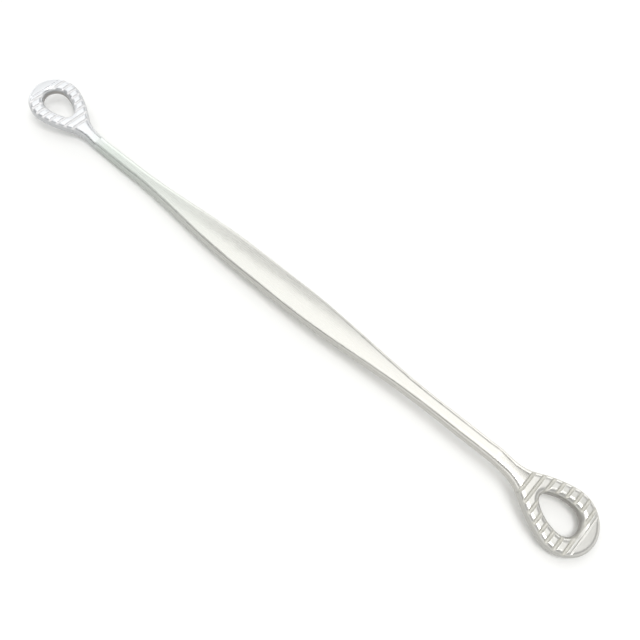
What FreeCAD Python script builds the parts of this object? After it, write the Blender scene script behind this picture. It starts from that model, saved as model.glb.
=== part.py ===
import FreeCAD, Part
import math
import os

# Double-ended wall retractor, one solid. Millimetres and degrees.
# It is drawn with the bar along X, straight, then each end is bent and the whole is laid down as it rests.

# Bar
overall_length = 250.0      # between the mid-plane tips of both rings, along the bar
bar_width = 10.4            # widest, at the middle
bar_thickness = 4.4         # at the middle
bar_crown = 0.35            # height of the arched faces over their long edges
bar_corner = 1.1            # rounding of the long edges at the middle
swell_flat = 11.3           # half length of the stretch that keeps the full width
swell_end = 70.0            # distance from the middle at which the neck begins
swell_sections = 9          # sections between those two places

# Neck and ring
neck_width = 5.0
ring_thickness = 4.1        # of neck, bend and ring
edge_radius = 1.6           # rounding of the outer edges of neck and ring
bend_angle = 14.5           # of each ring out of the line of the bar
crease_radius = 1.0         # on the hollow side of the bend

# Outline of the ring, distances along it from the end of the bend
ring_centre = 24.6          # centre of the round end
ring_radius = 9.8
flank_angle = 105.0         # where the round end passes into the flank, from the tip
flank_radius = 40.0
throat_radius = 13.5        # hollow arc between flank and neck

# Egg-shaped window
window_centre = 24.5
window_radius = 4.4
window_small_centre = 17.5
window_small_radius = 2.2
window_flank_radius = 13.0
window_edge_radius = 1.9    # rounding of both rims

# Grooves across both faces of each ring
groove_count = 8
groove_first = 9.9          # centre of the first one
groove_pitch = 2.7
groove_width = 1.15
groove_depth = 0.5
tip_groove_gap = 1.5        # from the last full groove to the fine one at the tip
tip_groove_width = 0.6
tip_groove_depth = 0.22

# Worked out
bend = math.radians(bend_angle)
crease_height = ring_thickness / 2 + crease_radius      # from the mid-plane to the bend axis
ring_length = ring_centre + ring_radius
bend_start = overall_length / 2 - crease_height * math.sin(bend) - ring_length * math.cos(bend)


def vec(x, y, z):
    return FreeCAD.Vector(x, y, z)


def arc(start, middle, end):
    return Part.Arc(start, middle, end).toShape()


def line(start, end):
    return Part.LineSegment(start, end).toShape()


def swell(x):
    """1 on the wide middle of the bar, 0 on the necks, a raised cosine between."""
    run = (abs(x) - swell_flat) / (swell_end - swell_flat)
    return 0.5 * (1 + math.cos(math.pi * min(max(run, 0.0), 1.0)))


def between(neck_value, bar_value, share):
    return neck_value + (bar_value - neck_value) * share


def face_edge(x, y, z, crown, sign):
    """Upper or lower edge of a section: an arc where the face is crowned, else a line."""
    start, end = vec(x, -sign * y, sign * z), vec(x, sign * y, sign * z)
    if crown == 0:
        return line(start, end)
    return arc(start, vec(x, 0, sign * (z + crown)), end)


def bar_section(x):
    """Closed section of the bar at x: two crowned faces, two flat sides and four round corners."""
    share = swell(x)
    half_width = between(neck_width, bar_width, share) / 2
    half_height = between(ring_thickness, bar_thickness, share) / 2
    corner = between(edge_radius, bar_corner, share)
    crown = bar_crown * share
    y = half_width - corner
    z = half_height - crown
    side = z - corner
    cut = corner * math.sqrt(0.5)
    edges = []
    for sign in (1, -1):
        edges.append(face_edge(x, y, z, crown, sign))
        edges.append(arc(vec(x, sign * y, sign * z),
                         vec(x, sign * (y + cut), sign * (side + cut)),
                         vec(x, sign * half_width, sign * side)))
        edges.append(line(vec(x, sign * half_width, sign * side),
                          vec(x, sign * half_width, -sign * side)))
        edges.append(arc(vec(x, sign * half_width, -sign * side),
                         vec(x, sign * (y + cut), -sign * (side + cut)),
                         vec(x, sign * y, -sign * z)))
    return Part.Wire(edges)


def bar():
    """Straight bar from bend to bend, lofted through its sections."""
    step = (swell_end - swell_flat) / swell_sections
    places = [0.0, swell_flat / 2]
    places += [swell_flat + step * index for index in range(swell_sections + 1)]
    places += [(swell_end + bend_start) / 2, bend_start]
    stations = [-x for x in reversed(places[1:])] + places
    return Part.makeLoft([bar_section(x) for x in stations], True, False)


def polar(centre_x, centre_y, radius, degrees):
    angle = math.radians(degrees)
    return vec(centre_x + radius * math.cos(angle), centre_y + radius * math.sin(angle), 0)


def direction(start, end):
    return math.degrees(math.atan2(end.y - start.y, end.x - start.x))


def arc_between(centre, radius, first, last):
    """Arc about centre from the angle first to the angle last, in degrees."""
    middle = (first + last) / 2
    return arc(polar(centre.x, centre.y, radius, first),
               polar(centre.x, centre.y, radius, middle),
               polar(centre.x, centre.y, radius, last))


def mirrored(edges):
    """The same edges on the other side of the centre line."""
    return [edge.mirror(vec(0, 0, 0), vec(0, 1, 0)) for edge in edges]


def ring_outline():
    """Neck stub, hollow throat, flank and round end, from the end of the bend outwards."""
    half_neck = neck_width / 2
    flank_centre = polar(ring_centre, 0, ring_radius - flank_radius, flank_angle)
    throat_y = half_neck + throat_radius
    reach = math.sqrt((flank_radius + throat_radius) ** 2 - (throat_y - flank_centre.y) ** 2)
    throat_centre = vec(flank_centre.x - reach, throat_y, 0)
    meeting = direction(flank_centre, throat_centre)
    side = [line(vec(0, half_neck, 0), vec(throat_centre.x, half_neck, 0)),
            arc_between(throat_centre, throat_radius, -90, meeting - 180),
            arc_between(flank_centre, flank_radius, meeting, flank_angle)]
    end = arc_between(vec(ring_centre, 0, 0), ring_radius, flank_angle, -flank_angle)
    root = line(vec(0, -half_neck, 0), vec(0, half_neck, 0))
    return Part.Wire(Part.__sortEdges__(side + mirrored(side) + [end, root]))


def window_outline():
    """Egg of four arcs: the round end, the small end and two flanks tangent to both."""
    gap = window_centre - window_small_centre
    to_large = window_flank_radius - window_radius
    to_small = window_flank_radius - window_small_radius
    along = (to_small ** 2 - to_large ** 2 + gap ** 2) / (2 * gap)
    flank_centre = vec(window_small_centre + along, -math.sqrt(to_small ** 2 - along ** 2), 0)
    large, small = vec(window_centre, 0, 0), vec(window_small_centre, 0, 0)
    first = direction(flank_centre, large)
    last = direction(flank_centre, small)
    flank = arc_between(flank_centre, window_flank_radius, first, last)
    round_end = arc_between(large, window_radius, first, -first)
    small_end = arc_between(small, window_small_radius, last, 360 - last)
    return Part.Wire(Part.__sortEdges__([flank, round_end, small_end] + mirrored([flank])))


def plate(outline):
    """Outline as a plate of the ring's thickness, centred on its mid-plane."""
    face = Part.Face(outline)
    face.translate(vec(0, 0, -ring_thickness / 2))
    return face.extrude(vec(0, 0, ring_thickness))


def rim_edges(solid, keep):
    """Edges lying wholly in either face of a plate whose middle passes the test keep."""
    rims = []
    for edge in solid.Edges:
        box = edge.BoundBox
        on_face = box.ZLength < 1e-6 and abs(abs(box.ZMin) - ring_thickness / 2) < 1e-6
        if on_face and keep(box):
            rims.append(edge)
    return rims


def ring_blank():
    """Ring and throat with rounded edges and the rounded window, before the grooves."""
    body = plate(ring_outline())
    body = body.makeFillet(edge_radius, rim_edges(body, lambda box: box.XMax > 1e-6))
    window_start = window_small_centre - window_small_radius
    body = body.cut(plate(window_outline()))

    def on_window(box):
        return box.XMin > window_start - 1e-6 and max(box.YMax, -box.YMin) < window_radius + 0.1
    return body.makeFillet(window_edge_radius, rim_edges(body, on_window))


def groove(x, width, depth, sign):
    """Round-bottomed cutter across the ring, on the upper (1) or lower (-1) face."""
    radius = (width ** 2 / 4 + depth ** 2) / (2 * depth)
    height = ring_thickness / 2 + radius - depth
    reach = ring_radius + 1
    return Part.makeCylinder(radius, 2 * reach, vec(x, -reach, sign * height), vec(0, 1, 0))


def grooves():
    """All grooves of one ring: a row of full ones and a fine one at the tip, on both faces."""
    last = groove_first + groove_pitch * (groove_count - 1)
    cutters = []
    for sign in (1, -1):
        for index in range(groove_count):
            x = groove_first + groove_pitch * index
            cutters.append(groove(x, groove_width, groove_depth, sign))
        cutters.append(groove(last + tip_groove_gap, tip_groove_width, tip_groove_depth, sign))
    return cutters


def bent_end():
    """Bend and ring at the +X end, turned down about the bend axis."""
    ring = ring_blank().cut(grooves())
    ring.translate(vec(bend_start, 0, 0))
    axis_point = vec(bend_start, 0, -crease_height)
    ring.rotate(axis_point, vec(0, 1, 0), bend_angle)
    root = Part.Face(bar_section(bend_start))
    return root.revolve(axis_point, vec(0, 1, 0), bend_angle).fuse(ring)


def rest_angle():
    """Tilt about Y at which the hollow bend's back and the other ring's tip both touch the ground."""
    bend_back = vec(-bend_start, 0, crease_height)
    tip = vec(bend_start + ring_length - edge_radius, 0, edge_radius - ring_thickness / 2)
    turn = FreeCAD.Placement(vec(0, 0, 0), FreeCAD.Rotation(vec(0, 1, 0), bend_angle),
                             vec(bend_start, 0, -crease_height))
    reach = bend_back - turn.multVec(tip)
    drop = ring_thickness + crease_radius - edge_radius
    span = math.hypot(reach.x, reach.z)
    return math.degrees(math.acos(drop / span) - math.atan2(-reach.x, reach.z))


def retractor():
    near_end = bent_end()
    far_end = near_end.copy()
    far_end.rotate(vec(0, 0, 0), vec(0, 1, 0), 180)
    body = bar().fuse([near_end, far_end]).removeSplitter()
    body.rotate(vec(0, 0, 0), vec(0, 1, 0), -rest_angle())
    box = body.optimalBoundingBox(False)
    body.translate(vec(-box.Center.x, -box.Center.y, -box.ZMin))
    return body


os.makedirs("parts", exist_ok=True)
retractor().exportStep("parts/double_ended_retractor.step")
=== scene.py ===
import bpy
import math
from mathutils import Matrix, Vector

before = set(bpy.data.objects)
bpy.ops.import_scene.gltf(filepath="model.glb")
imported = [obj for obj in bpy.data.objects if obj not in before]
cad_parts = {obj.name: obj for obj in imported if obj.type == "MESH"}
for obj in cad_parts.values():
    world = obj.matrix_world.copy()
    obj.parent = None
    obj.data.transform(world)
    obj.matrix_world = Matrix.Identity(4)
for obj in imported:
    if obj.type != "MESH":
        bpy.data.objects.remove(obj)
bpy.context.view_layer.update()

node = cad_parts["double_ended_retractor"]

# Camera, in metres and degrees. It stands on its own azimuth, and the lamps are placed as seen from it.
IMAGE_SIZE = 640
FOCAL_PIXELS = 679.4
SENSOR = 36.0               # its width, in millimetres
CLIP = (0.01, 20.0)
CAMERA_ELEVATION = 60.7
CAMERA_AZIMUTH = 43.0
CAMERA_DISTANCE = 0.2228
AIM_RIGHT = 0.01706         # of the camera's aim on the ground, from the middle of the bar
AIM_FORWARD = -0.0133

STUDIO = Matrix.Rotation(math.radians(CAMERA_AZIMUTH), 4, "Z")

# Dome: radiance low down on the camera's side and beyond the object, and high up
HORIZON_NEAR, HORIZON_FAR = 0.34, 1.50
DOME_LEVEL = 0.40
BEYOND = (-0.5, 0.866, 0.0)         # middle of the bright side, as seen from the camera's side
BEYOND_TURN = (0.45, 0.9)           # cosines of the angle to it over which that side begins
DOME_RISE = (0.5, 0.85)             # sines of the elevation over which the horizon passes into the dome
BACKDROP_RISE = (0.30, 0.42)        # and over which the white backdrop behind the ground ends

# Lamps, as seen from the camera's side: name, place, aim, width, depth and radiance
LAMPS = (("overhead", (0.1, 0.1, 1.0), (0.1, 0.1, 0.0), 1.5, 1.5, 0.84),
         ("key", (0.25, -0.3, 1.0), (0.0, 0.0, 0.0), 0.38, 0.38, 7.8),
         ("side", (0.95, 0.75, 0.3), (0.0, 0.0, 0.0), 0.8, 0.5, 0.9),
         ("front", (-0.6, -0.9, 0.35), (0.0, 0.0, 0.0), 0.8, 0.4, 0.6))

# Floor
FLOOR_COLOUR = (0.76, 0.76, 0.75)
FLOOR_SEEN = (0.93, 0.93, 0.915)    # its colour for the camera and in reflections: white open ground
FLOOR_SIZE = 8.0
FLOOR_FADE = (0.25, 0.5)            # distances over which it passes into the white backdrop

# The solid's own measures, in millimetres and degrees, for what the material shows of its shape
MIDDLE_HEIGHT = 5.57        # of the bar's middle above the ground
RING_ROOT = (91.63, 9.02)   # start of the lowered ring on its mid-plane
RING_SLOPE = 12.28
RING_HALF = 2.05            # half thickness
WINDOW_SMALL, WINDOW_LARGE = (17.5, 2.2), (24.5, 4.4)     # centre and radius of its two ends
WINDOW_ROUNDING = 1.9
WINDOW_MARGIN = 0.4         # beyond the rounding, over which the wall's colour ends
WALL_DEPTH = (1.1, 1.7)     # below the face, over which a rim passes into the wall
GROOVE_FIRST, GROOVE_PITCH, GROOVE_LAST = 9.9, 2.7, 28.8
GROOVE_WIDTH, GROOVE_DEPTH = 1.15, 0.5
GROOVE_EDGE = 0.03          # softness of a groove's border, as a share of the pitch
GROOVE_END = (1.0, 1.2)     # beyond the first and last groove, where the row of them stops
GROOVE_FLOOR = (0.1, 0.5)   # below the bottom of a groove, over which its colour ends
THROAT_CROWN = 17.0         # radius of the slight arch that the polish gives the plain throat
THROAT_START = 5.0          # length over which that arch comes in
THROAT_STOP = 0.4           # and half the length over which it stops, at the first groove

# Colours of the steel, with painted reflection and painted shade in them
# Painted reflection: the steel's colour changes along the bar, lighter on the raised ring, greenish near its
# bend, warmer and darker towards the lowered ring
STEEL_AND_PAINTED_REFLECTION = ((-0.123, (0.700, 0.712, 0.725)),      # at distances along the bar, in metres
         (-0.119, (0.820, 0.835, 0.850)),
         (-0.097, (0.840, 0.855, 0.870)),
         (-0.086, (0.735, 0.788, 0.735)),
         (-0.020, (0.785, 0.786, 0.740)),
         (0.096, (0.800, 0.786, 0.738)),
         (0.106, (0.735, 0.728, 0.690)))
TINT_DRIFT = 0.01           # metres by which the clouds shift those places
# Painted shade in the grooves
GROOVE_PAINTED_SHADE = (0.54, 0.53, 0.475)
RAISED_GROOVE_PAINTED_SHADE = (0.71, 0.71, 0.71)        # on the raised ring, where the painted shade is kept lighter
GROOVE_MOTTLE = 0.35        # share of white in the lightest spots of a groove
# Painted shade on the window walls
WINDOW_WALL_PAINTED_SHADE = (0.42, 0.405, 0.39)
SIDE_PAINTED_SHADE = 0.40            # painted shade: share by which the colour of the upright sides is darkened
SIDE_TURN = (0.4, 0.95)     # upright part of the normal on a side with painted shade and on a face

# Finish of the steel
LINE_SCALE = (90.0, 5200.0, 5200.0)         # per metre: the fine lines run along the bar
GRIT_SCALE, MOTTLE_SCALE, CLOUD_SCALE = 5200.0, 900.0, 70.0
NOISE_SPAN = (0.3, 0.7)     # values between which nearly all of a noise lies
ROUGHNESS = (0.27, 0.29)    # from cloud to cloud
LINE_ROUGHNESS = 0.03       # more or less in the fine lines
RING_ROUGHER, RING_ROUGHER_START = 0.04, 1.5        # from this far before the first groove
CUT_ROUGHER = 0.30          # in grooves and on window walls
WORN_EDGE, WORN_GROOVE = 0.00025, 0.0005    # radius of worn edges, in metres
LINE_SHARE, GRIT_SHARE = 0.7, 0.3           # of the relief
RELIEF_STRENGTH, RELIEF_HEIGHT = 0.08, 0.00002

WHITE, BLACK = (1.0, 1.0, 1.0, 1.0), (0.0, 0.0, 0.0, 1.0)


def opaque(colour):
    return colour + (1.0,)


class Nodes:
    """Short way to write a node tree: each call adds a node and links or sets its inputs."""

    def __init__(self, tree):
        self.tree = tree

    def add(self, kind, inputs=None, **settings):
        made = self.tree.nodes.new(kind)
        for name, value in settings.items():
            setattr(made, name, value)
        for name, value in (inputs or {}).items():
            self.put(made.inputs[name], value)
        return made

    def put(self, socket, value):
        if isinstance(value, bpy.types.NodeSocket):
            self.tree.links.new(value, socket)
        else:
            socket.default_value = value

    def math(self, operation, *values):
        made = self.add("ShaderNodeMath", operation=operation)
        for socket, value in zip(made.inputs, values):
            self.put(socket, value)
        return made.outputs[0]

    def map(self, value, low, high, at_low=0.0, at_high=1.0, kind="LINEAR"):
        """value from low to high as at_low to at_high, and no further."""
        made = self.add("ShaderNodeMapRange", interpolation_type=kind)
        for name, given in (("Value", value), ("From Min", low), ("From Max", high),
                            ("To Min", at_low), ("To Max", at_high)):
            self.put(made.inputs[name], given)
        return made.outputs[0]

    def ramp(self, value, low, high, at_low=0.0, at_high=1.0):
        """The same, with a smooth start and end."""
        return self.map(value, low, high, at_low, at_high, "SMOOTHSTEP")

    def noise(self, vector, scale, detail):
        made = self.add("ShaderNodeTexNoise", {"Vector": vector, "Scale": scale, "Detail": detail})
        return made.outputs["Fac"]

    def stops(self, value, places):
        """Colour that changes evenly between the given places of value."""
        low, high = places[0][0], places[-1][0]
        made = self.add("ShaderNodeValToRGB", {"Fac": self.map(value, low, high)})
        elements = made.color_ramp.elements
        elements[0].color, elements[1].color = opaque(places[0][1]), opaque(places[-1][1])
        for place, colour in places[1:-1]:
            elements.new((place - low) / (high - low)).color = opaque(colour)
        return made.outputs[0]

    def mix(self, share, first, second):
        made = self.add("ShaderNodeMix", data_type="RGBA")
        self.put(made.inputs[0], share)
        self.put(made.inputs[6], first)
        self.put(made.inputs[7], second)
        return made.outputs[2]


def new_material(name):
    material = bpy.data.materials.new(name)
    material.use_nodes = True
    material.node_tree.nodes.clear()
    return material, Nodes(material.node_tree)


def ring_place(n, coord):
    """Distances from the root of whichever ring is nearer: along it, across it and from its mid-plane."""
    split = n.add("ShaderNodeSeparateXYZ", {"Vector": coord})
    x = n.math("MULTIPLY", split.outputs[0], 1000.0)
    z = n.math("MULTIPLY_ADD", split.outputs[2], 1000.0, -MIDDLE_HEIGHT)
    side = n.math("SIGN", x)
    out = n.math("MULTIPLY_ADD", x, side, -RING_ROOT[0])
    up = n.math("MULTIPLY_ADD", z, side, MIDDLE_HEIGHT - RING_ROOT[1])
    cosine, sine = math.cos(math.radians(RING_SLOPE)), math.sin(math.radians(RING_SLOPE))
    along = n.math("SUBTRACT", n.math("MULTIPLY", out, cosine), n.math("MULTIPLY", up, sine))
    level = n.math("ADD", n.math("MULTIPLY", out, sine), n.math("MULTIPLY", up, cosine))
    across = n.math("ABSOLUTE", n.math("MULTIPLY", split.outputs[1], 1000.0))
    return along, across, n.math("ABSOLUTE", level)


def groove_share(n, along, level):
    """1 in the grooves, 0 on the lands and everywhere else."""
    turn = n.math("DIVIDE", n.math("SUBTRACT", along, GROOVE_FIRST), GROOVE_PITCH)
    away = n.math("ABSOLUTE", n.math("SUBTRACT", turn, n.math("ROUND", turn)))
    half = GROOVE_WIDTH / 2 / GROOVE_PITCH
    share = n.ramp(away, half - GROOVE_EDGE, half + GROOVE_EDGE, 1.0, 0.0)
    near, far = GROOVE_END
    share = n.math("MULTIPLY", share, n.ramp(along, GROOVE_FIRST - far, GROOVE_FIRST - near))
    share = n.math("MULTIPLY", share, n.ramp(along, GROOVE_LAST + near, GROOVE_LAST + far, 1.0, 0.0))
    bottom = RING_HALF - GROOVE_DEPTH
    return n.math("MULTIPLY", share, n.ramp(level, bottom - GROOVE_FLOOR[1], bottom - GROOVE_FLOOR[0]))


def window_share(n, along, across, level):
    """1 on the wall of a ring's window, falling to 0 over its rounded rims."""
    nearest = n.math("MINIMUM", n.math("MAXIMUM", along, WINDOW_SMALL[0]), WINDOW_LARGE[0])
    beside = n.math("SUBTRACT", along, nearest)
    away = n.math("SQRT", n.math("ADD", n.math("MULTIPLY", beside, beside),
                                 n.math("MULTIPLY", across, across)))
    radius = n.map(nearest, WINDOW_SMALL[0], WINDOW_LARGE[0], WINDOW_SMALL[1], WINDOW_LARGE[1])
    past = n.math("SUBTRACT", away, radius)
    inside = n.ramp(past, WINDOW_ROUNDING, WINDOW_ROUNDING + WINDOW_MARGIN, 1.0, 0.0)
    wall = n.ramp(level, RING_HALF - WALL_DEPTH[1], RING_HALF - WALL_DEPTH[0], 1.0, 0.0)
    return n.math("MULTIPLY", inside, wall)


def throat_arch(n, along, across):
    """Height in metres of the parabola that arches the throat, between the bend and the first groove."""
    arch = n.math("MULTIPLY", n.math("MULTIPLY", across, across), -0.001 / (2 * THROAT_CROWN))
    arch = n.math("MULTIPLY", arch, n.ramp(along, 0.0, THROAT_START))
    stop = n.ramp(along, GROOVE_FIRST - THROAT_STOP, GROOVE_FIRST + THROAT_STOP, 1.0, 0.0)
    return n.math("MULTIPLY", arch, stop)


def steel():
    """Satin stainless steel, finely lined along the bar and rougher in grooves and on window walls, with
    painted shade in grooves, on window walls and on upright sides, and a painted reflection that changes its
    colour along the bar.
    """
    material, n = new_material("satin_steel")
    place = n.add("ShaderNodeTexCoord")
    coord = place.outputs["Object"]
    x = n.add("ShaderNodeSeparateXYZ", {"Vector": coord}).outputs[0]
    upright = n.add("ShaderNodeSeparateXYZ", {"Vector": place.outputs["Normal"]}).outputs[2]
    along, across, level = ring_place(n, coord)
    groove = groove_share(n, along, level)
    wall = window_share(n, along, across, level)
    lines_place = n.add("ShaderNodeMapping", {"Vector": coord, "Scale": LINE_SCALE}).outputs[0]
    lines = n.noise(lines_place, 1.0, 4.0)
    grit = n.noise(coord, GRIT_SCALE, 2.0)
    cloud = n.noise(coord, CLOUD_SCALE, 3.0)
    mottle = n.noise(coord, MOTTLE_SCALE, 2.0)

    # Painted reflection: the steel's colour changes along the bar
    colour_with_painted_light = n.stops(n.math("MULTIPLY_ADD", cloud, TINT_DRIFT, n.math("SUBTRACT", x, TINT_DRIFT / 2)), STEEL_AND_PAINTED_REFLECTION)
    # Painted shade on the upright sides
    side = n.ramp(n.math("ABSOLUTE", upright), SIDE_TURN[0], SIDE_TURN[1], SIDE_PAINTED_SHADE, 0.0)
    colour_with_painted_light = n.mix(side, colour_with_painted_light, BLACK)
    # Painted shade in the grooves, lighter on the raised ring, with random mottle
    painted_groove_shade = n.mix(n.math("GREATER_THAN", x, 0.0), opaque(RAISED_GROOVE_PAINTED_SHADE), opaque(GROOVE_PAINTED_SHADE))
    painted_groove_shade = n.mix(mottle, painted_groove_shade, n.mix(GROOVE_MOTTLE, painted_groove_shade, WHITE))
    colour_with_painted_light = n.mix(groove, colour_with_painted_light, painted_groove_shade)
    # Painted shade on the window walls
    colour_with_painted_light = n.mix(wall, colour_with_painted_light, opaque(WINDOW_WALL_PAINTED_SHADE))

    roughness = n.math("ADD", n.ramp(cloud, *NOISE_SPAN, *ROUGHNESS),
                       n.ramp(lines, *NOISE_SPAN, -LINE_ROUGHNESS, LINE_ROUGHNESS))
    ring = n.ramp(along, GROOVE_FIRST - RING_ROUGHER_START, GROOVE_FIRST, 0.0, RING_ROUGHER)
    roughness = n.math("ADD", roughness, ring)
    roughness = n.math("ADD", roughness, n.math("MULTIPLY", n.math("MAXIMUM", groove, wall), CUT_ROUGHER))

    worn = n.ramp(groove, 0.0, 1.0, WORN_EDGE, WORN_GROOVE)
    soft = n.add("ShaderNodeBevel", {"Radius": worn}, samples=12).outputs[0]
    arched = n.add("ShaderNodeBump", {"Height": throat_arch(n, along, across), "Distance": 1.0,
                                      "Normal": soft}).outputs[0]
    relief = n.math("ADD", n.math("MULTIPLY", lines, LINE_SHARE), n.math("MULTIPLY", grit, GRIT_SHARE))
    bump = n.add("ShaderNodeBump", {"Height": relief, "Strength": RELIEF_STRENGTH,
                                    "Distance": RELIEF_HEIGHT, "Normal": arched}).outputs[0]
    shader = n.add("ShaderNodeBsdfPrincipled", {"Base Color": colour_with_painted_light, "Metallic": 1.0,
                                                "Roughness": roughness, "Normal": bump})
    n.add("ShaderNodeOutputMaterial", {"Surface": shader.outputs[0]})
    return material


def floor_material():
    """Matte ground that is white to the camera and in reflections, and takes the object's shadow."""
    material, n = new_material("floor")
    path = n.add("ShaderNodeLightPath").outputs
    seen = n.math("MAXIMUM", path["Is Camera Ray"], path["Is Glossy Ray"])
    seen = n.math("MAXIMUM", seen, path["Is Transmission Ray"])
    colour = n.mix(seen, opaque(FLOOR_COLOUR), opaque(FLOOR_SEEN))
    matte = n.add("ShaderNodeBsdfDiffuse", {"Color": colour}).outputs[0]
    white = n.add("ShaderNodeEmission", {"Color": WHITE}).outputs[0]
    place = n.add("ShaderNodeTexCoord").outputs["Object"]
    away = n.add("ShaderNodeVectorMath", {"Vector": place}, operation="LENGTH").outputs["Value"]
    far = n.math("MULTIPLY", n.ramp(away, *FLOOR_FADE), seen)
    blend = n.add("ShaderNodeMixShader", {"Fac": far})
    n.put(blend.inputs[1], matte)
    n.put(blend.inputs[2], white)
    n.add("ShaderNodeOutputMaterial", {"Surface": blend.outputs[0]})
    return material


def make_floor():
    half = FLOOR_SIZE / 2
    mesh = bpy.data.meshes.new("floor")
    mesh.from_pydata([(-half, -half, 0), (half, -half, 0), (half, half, 0), (-half, half, 0)], [],
                     [(0, 1, 2, 3)])
    floor = bpy.data.objects.new("floor", mesh)
    floor.data.materials.append(floor_material())
    bpy.context.scene.collection.objects.link(floor)


def make_world():
    """Pale dome, bright beyond the object and darker on the camera's side, with a white backdrop low down."""
    world = bpy.data.worlds.new("studio")
    bpy.context.scene.world = world
    world.use_nodes = True
    world.node_tree.nodes.clear()
    n = Nodes(world.node_tree)
    heading = n.add("ShaderNodeTexCoord").outputs["Generated"]
    rise = n.add("ShaderNodeSeparateXYZ", {"Vector": heading}).outputs[2]
    facing = n.add("ShaderNodeVectorMath", operation="DOT_PRODUCT")
    n.put(facing.inputs[0], heading)
    n.put(facing.inputs[1], STUDIO @ Vector(BEYOND))
    horizon = n.ramp(facing.outputs["Value"], *BEYOND_TURN, HORIZON_NEAR, HORIZON_FAR)
    level = n.ramp(rise, *DOME_RISE, horizon, DOME_LEVEL)
    level = n.math("MAXIMUM", level, n.ramp(rise, *BACKDROP_RISE, 1.0, 0.0))
    back = n.add("ShaderNodeBackground", {"Color": WHITE, "Strength": level})
    n.add("ShaderNodeOutputWorld", {"Surface": back.outputs[0]})


def softbox(name, place, aim, width, depth, radiance):
    data = bpy.data.lights.new(name, "AREA")
    data.shape = "RECTANGLE"
    data.size, data.size_y = width, depth
    data.energy = radiance * math.pi * width * depth
    lamp = bpy.data.objects.new(name, data)
    bpy.context.scene.collection.objects.link(lamp)
    towards = Vector(aim) - Vector(place)
    lamp.matrix_world = STUDIO @ Matrix.LocRotScale(Vector(place), towards.to_track_quat("-Z", "Y"), None)


def make_camera():
    data = bpy.data.cameras.new("camera")
    data.sensor_width = SENSOR
    data.lens = SENSOR * FOCAL_PIXELS / IMAGE_SIZE
    data.clip_start, data.clip_end = CLIP
    camera = bpy.data.objects.new("camera", data)
    bpy.context.scene.collection.objects.link(camera)
    bpy.context.scene.camera = camera
    elevation = math.radians(CAMERA_ELEVATION)
    back = Vector((0.0, -math.cos(elevation), math.sin(elevation)))
    place = Vector((AIM_RIGHT, AIM_FORWARD, 0.0)) + back * CAMERA_DISTANCE
    camera.matrix_world = STUDIO @ Matrix.LocRotScale(place, back.to_track_quat("Z", "Y"), None)


node.data.materials.clear()
node.data.materials.append(steel())
make_floor()
make_world()
for lamp in LAMPS:
    softbox(*lamp)
make_camera()
bpy.context.scene.view_settings.view_transform = "Standard"
